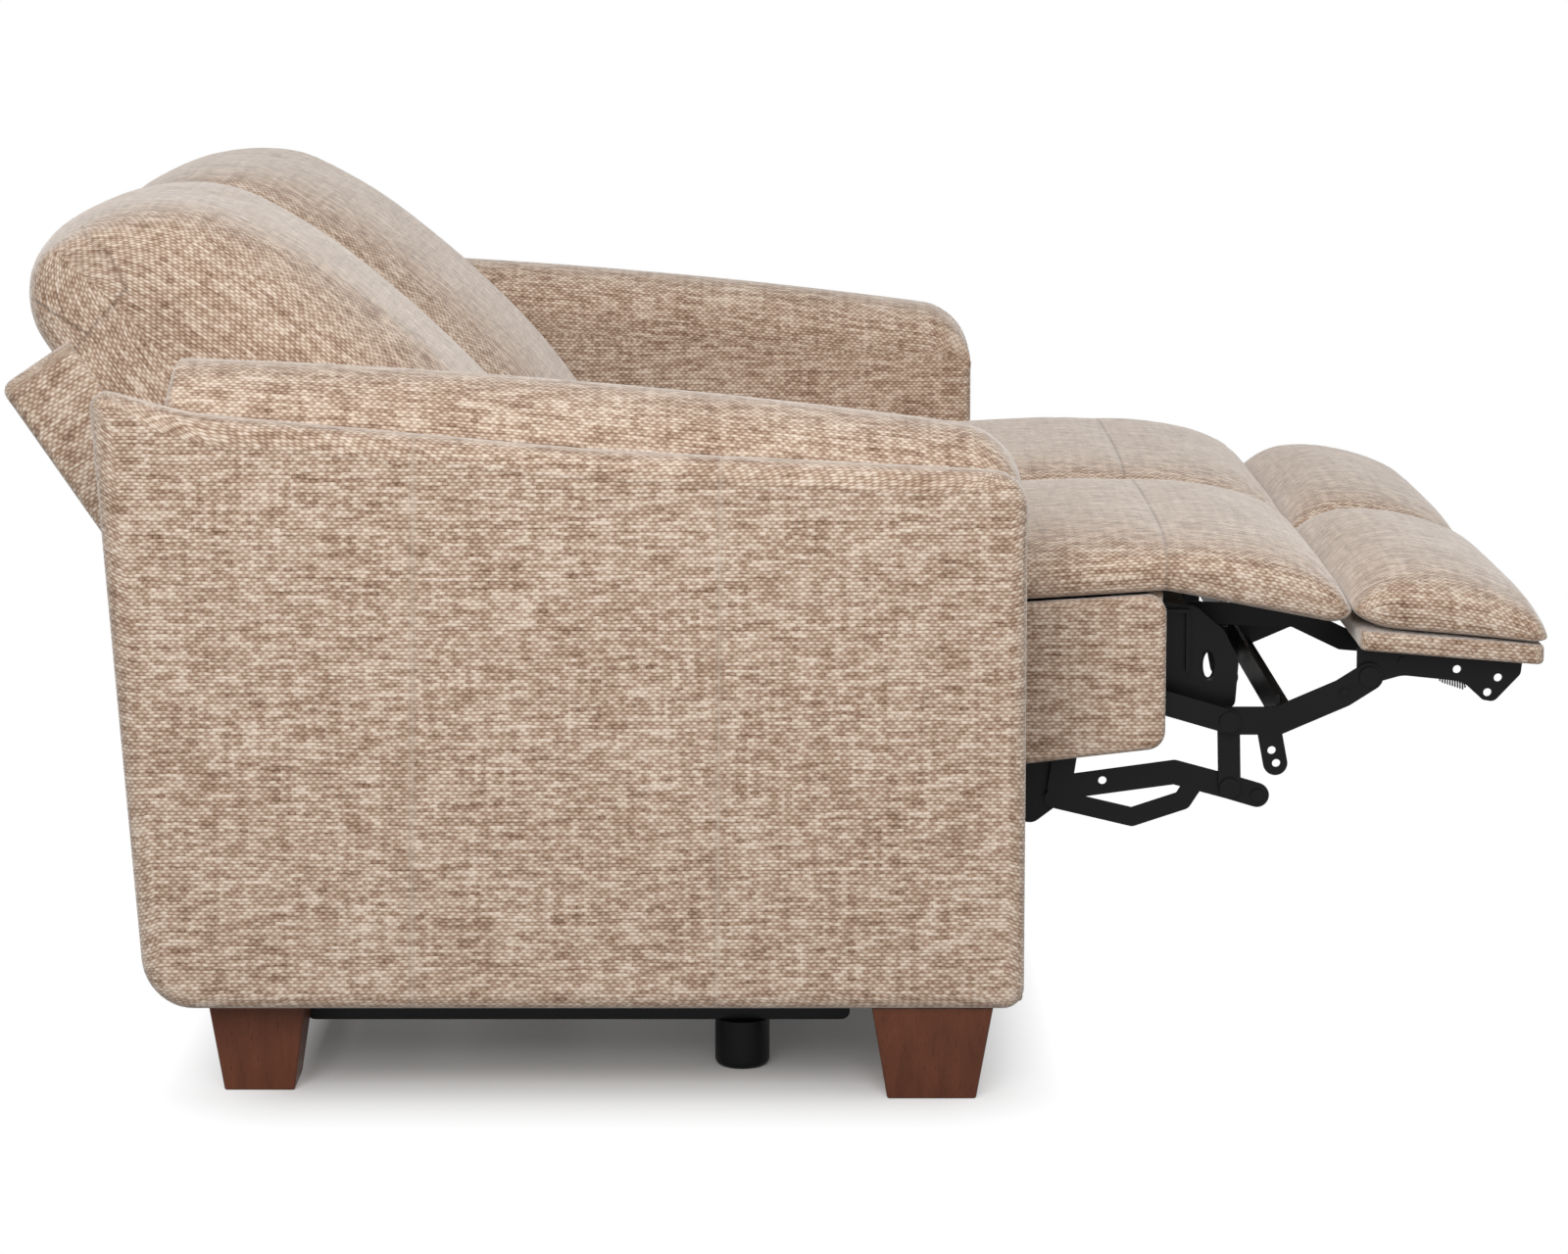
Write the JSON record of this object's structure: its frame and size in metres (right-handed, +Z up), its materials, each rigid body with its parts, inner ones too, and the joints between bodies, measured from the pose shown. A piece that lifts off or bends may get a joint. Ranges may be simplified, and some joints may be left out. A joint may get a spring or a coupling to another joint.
{
  "type": "power reclining sofa",
  "caption": "Upholstered reclining sofa with sliding seats, leaning backs, swing-out leg rests on steel links, crowned arm pads and tapered wooden feet.",
  "frame": {"origin": "floor level under the middle of the reclined sofa", "axes": "+X forward, the way a sitter faces; +Y to the sitter's left; +Z up"},
  "size_m": [1.634, 1.54, 0.9244],
  "materials": {
    "upholstery": "heathered woven chenille",
    "dark_wood": "dark stained satin",
    "frame_wood": "raw hardwood",
    "black_steel": "black semi-gloss paint",
    "zinc_steel": "zinc plated",
    "black_plastic": "matte black",
    "webbing": "elastic webbing"
  },
  "bodies": {
    "base": {"arm_frames": "frame_wood", "base_side_rails": "black_steel", "cross_rails": "black_steel", "foot_bolts": "zinc_steel", "left_arm_end_panels": "upholstery", "left_arm_inner_panel": "upholstery", "left_arm_outer_panel": "upholstery", "left_arm_pad": "upholstery", "left_control_panel": "black_plastic", "power_inlet": "black_plastic", "rear_lower_panel": "upholstery", "recline_actuators": "black_plastic", "right_arm_end_panels": "upholstery", "right_arm_inner_panel": "upholstery", "right_arm_outer_panel": "upholstery", "right_arm_pad": "upholstery", "right_control_panel": "black_plastic", "slide_rails": "black_steel", "support_feet": "black_plastic", "wooden_feet": "dark_wood"},
    "left_back": {"left_back_cushion": "upholstery", "left_back_frame": "frame_wood", "left_back_panel": "upholstery"},
    "left_bolster": {"left_bolster": "upholstery"},
    "left_crank": {"left_crank": "black_steel"},
    "left_drive_nut": {"left_drive_nut": "black_plastic"},
    "left_drop_link": {"left_drop_link": "black_steel"},
    "left_footrest": {"left_footrest_board": "upholstery", "left_footrest_brackets": "black_steel", "left_footrest_pad": "upholstery"},
    "left_seat": {"left_footrest_motor": "black_plastic", "left_hinge_brackets": "black_steel", "left_seat_box": "upholstery", "left_seat_carriage": "black_steel", "left_seat_cushion": "upholstery", "left_seat_straps": "webbing"},
    "left_lower_link": {"left_lower_link": "black_steel"},
    "left_ottoman_link": {"left_ottoman_link": "black_steel"},
    "left_recline_button": {"left_recline_button": "black_plastic"},
    "left_upright_button": {"left_upright_button": "black_plastic"},
    "right_back": {"right_back_cushion": "upholstery", "right_back_frame": "frame_wood", "right_back_panel": "upholstery"},
    "right_bolster": {"right_bolster": "upholstery"},
    "right_crank": {"right_crank": "black_steel"},
    "right_drive_nut": {"right_drive_nut": "black_plastic"},
    "right_drop_link": {"right_drop_link": "black_steel"},
    "right_footrest": {"right_footrest_board": "upholstery", "right_footrest_brackets": "black_steel", "right_footrest_pad": "upholstery"},
    "right_seat": {"right_footrest_motor": "black_plastic", "right_hinge_brackets": "black_steel", "right_seat_box": "upholstery", "right_seat_carriage": "black_steel", "right_seat_cushion": "upholstery", "right_seat_straps": "webbing"},
    "right_lower_link": {"right_lower_link": "black_steel"},
    "right_ottoman_link": {"right_ottoman_link": "black_steel"},
    "right_recline_button": {"right_recline_button": "black_plastic"},
    "right_upright_button": {"right_upright_button": "black_plastic"}
  },
  "joints": [
    {"name": "right_seat_slide", "type": "slide", "parent": "base", "child": "right_seat", "axis": [-0.9563, 0, -0.2924], "range_m": [0, 0.19]},
    {"name": "right_back_recline", "type": "hinge", "parent": "right_seat", "child": "right_back", "pos_m": [-0.175, -0.29, 0.395], "axis": [0, 1, 0], "range_deg": [0, 32]},
    {"name": "right_footrest", "type": "hinge", "parent": "right_seat", "child": "right_footrest", "pos_m": [0.45, -0.29, 0.458], "axis": [0, 1, 0], "range_deg": [0, 90]},
    {"name": "right_bolster", "type": "hinge", "parent": "right_seat", "child": "right_bolster", "pos_m": [0.45, -0.29, 0.458], "axis": [0, 1, 0], "range_deg": [0, 45]},
    {"name": "right_crank", "type": "hinge", "parent": "right_seat", "child": "right_crank", "pos_m": [0.301, -0.29, 0.41], "axis": [0, 1, 0], "range_deg": [0, 90]},
    {"name": "right_lower_link", "type": "hinge", "parent": "right_seat", "child": "right_lower_link", "pos_m": [0.303, -0.29, 0.336], "axis": [0, 1, 0], "range_deg": [0, 90]},
    {"name": "right_ottoman_link", "type": "hinge", "parent": "right_crank", "child": "right_ottoman_link", "pos_m": [0.475, -0.29, 0.359], "axis": [0, -1, 0], "range_deg": [0, 90]},
    {"name": "right_drop_link", "type": "hinge", "parent": "right_crank", "child": "right_drop_link", "pos_m": [0.475, -0.29, 0.359], "axis": [0, -1, 0], "range_deg": [0, 90]},
    {"name": "right_drive_nut", "type": "slide", "parent": "right_seat", "child": "right_drive_nut", "axis": [-1, 0, 0], "range_m": [0, 0.09051]},
    {"name": "left_seat_slide", "type": "slide", "parent": "base", "child": "left_seat", "axis": [-0.9563, 0, -0.2924], "range_m": [0, 0.19]},
    {"name": "left_back_recline", "type": "hinge", "parent": "left_seat", "child": "left_back", "pos_m": [-0.175, 0.29, 0.395], "axis": [0, 1, 0], "range_deg": [0, 32]},
    {"name": "left_footrest", "type": "hinge", "parent": "left_seat", "child": "left_footrest", "pos_m": [0.45, 0.29, 0.458], "axis": [0, 1, 0], "range_deg": [0, 90]},
    {"name": "left_bolster", "type": "hinge", "parent": "left_seat", "child": "left_bolster", "pos_m": [0.45, 0.29, 0.458], "axis": [0, 1, 0], "range_deg": [0, 45]},
    {"name": "left_crank", "type": "hinge", "parent": "left_seat", "child": "left_crank", "pos_m": [0.301, 0.29, 0.41], "axis": [0, 1, 0], "range_deg": [0, 90]},
    {"name": "left_lower_link", "type": "hinge", "parent": "left_seat", "child": "left_lower_link", "pos_m": [0.303, 0.29, 0.336], "axis": [0, 1, 0], "range_deg": [0, 90]},
    {"name": "left_ottoman_link", "type": "hinge", "parent": "left_crank", "child": "left_ottoman_link", "pos_m": [0.475, 0.29, 0.359], "axis": [0, -1, 0], "range_deg": [0, 90]},
    {"name": "left_drop_link", "type": "hinge", "parent": "left_crank", "child": "left_drop_link", "pos_m": [0.475, 0.29, 0.359], "axis": [0, -1, 0], "range_deg": [0, 90]},
    {"name": "left_drive_nut", "type": "slide", "parent": "left_seat", "child": "left_drive_nut", "axis": [-1, 0, 0], "range_m": [0, 0.09051]},
    {"name": "right_recline_button", "type": "slide", "parent": "base", "child": "right_recline_button", "axis": [0, -1, 0], "range_m": [0, 0.002], "stiffness_N_per_m": 400},
    {"name": "right_upright_button", "type": "slide", "parent": "base", "child": "right_upright_button", "axis": [0, -1, 0], "range_m": [0, 0.002], "stiffness_N_per_m": 400},
    {"name": "left_recline_button", "type": "slide", "parent": "base", "child": "left_recline_button", "axis": [0, 1, 0], "range_m": [0, 0.002], "stiffness_N_per_m": 400},
    {"name": "left_upright_button", "type": "slide", "parent": "base", "child": "left_upright_button", "axis": [0, 1, 0], "range_m": [0, 0.002], "stiffness_N_per_m": 400}
  ],
  "couplings": [
    {"joint": "right_back_recline", "follows": "right_seat_slide", "rad_per_m": 2.9395},
    {"joint": "right_bolster", "follows": "right_footrest", "ratio": 0.5},
    {"joint": "right_crank", "follows": "right_footrest", "ratio": 1},
    {"joint": "right_lower_link", "follows": "right_footrest", "ratio": 1},
    {"joint": "right_ottoman_link", "follows": "right_footrest", "ratio": 1},
    {"joint": "right_drop_link", "follows": "right_footrest", "ratio": 1},
    {"joint": "right_drive_nut", "follows": "right_footrest", "m_per_rad": 0.05762},
    {"joint": "left_back_recline", "follows": "left_seat_slide", "rad_per_m": 2.9395},
    {"joint": "left_bolster", "follows": "left_footrest", "ratio": 0.5},
    {"joint": "left_crank", "follows": "left_footrest", "ratio": 1},
    {"joint": "left_lower_link", "follows": "left_footrest", "ratio": 1},
    {"joint": "left_ottoman_link", "follows": "left_footrest", "ratio": 1},
    {"joint": "left_drop_link", "follows": "left_footrest", "ratio": 1},
    {"joint": "left_drive_nut", "follows": "left_footrest", "m_per_rad": 0.05762}
  ]
}
